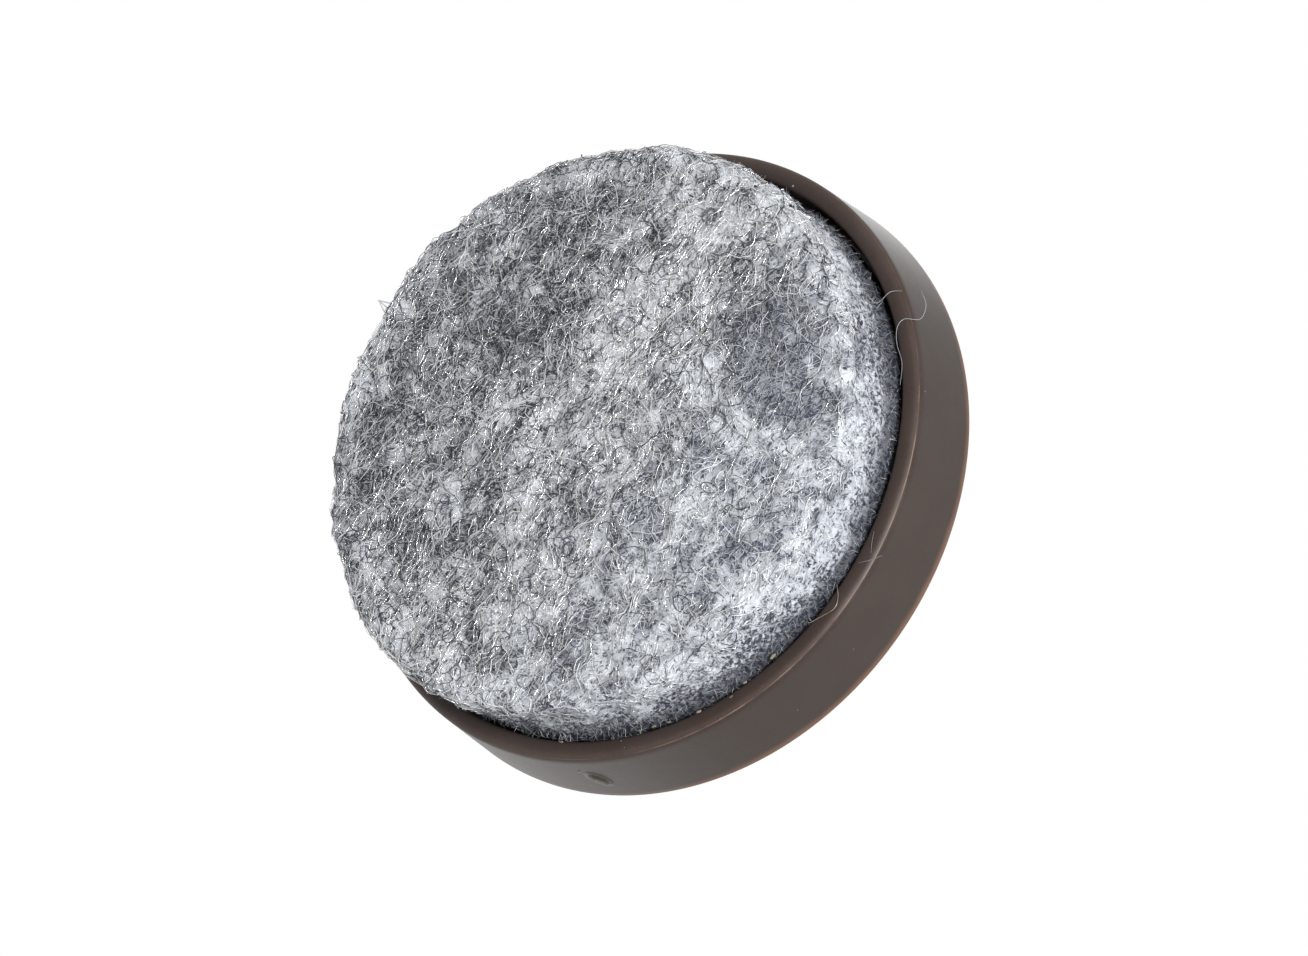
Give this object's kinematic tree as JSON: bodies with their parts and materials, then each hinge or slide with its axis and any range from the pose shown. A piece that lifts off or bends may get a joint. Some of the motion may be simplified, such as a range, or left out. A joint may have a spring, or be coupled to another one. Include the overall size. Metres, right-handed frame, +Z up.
{
  "type": "nail-on felt glide",
  "caption": "Round furniture glide: moulded plastic cup with a steel nail through its floor and a thick felt disc glued into it, standing proud of the rim.",
  "frame": {"origin": "centre of the felt's sole, where the glide meets the floor", "axes": "+Z up along the nail, from the sole to the leg; X and Y lie in the sole, and the gate mark on the cup's wall is 31 degrees from +X towards -Y"},
  "size_m": [0.028, 0.028, 0.0232],
  "materials": {
    "cup_plastic": "satin dark brown moulding",
    "nail_steel": "bright drawn wire",
    "adhesive": "set hot-melt, pale amber",
    "felt": "needled felt of white, grey and navy fibres"
  },
  "bodies": {
    "root": {"cup": "cup_plastic", "nail": "nail_steel", "adhesive_layer": "adhesive", "felt_pad": "felt"}
  },
  "joints": []
}
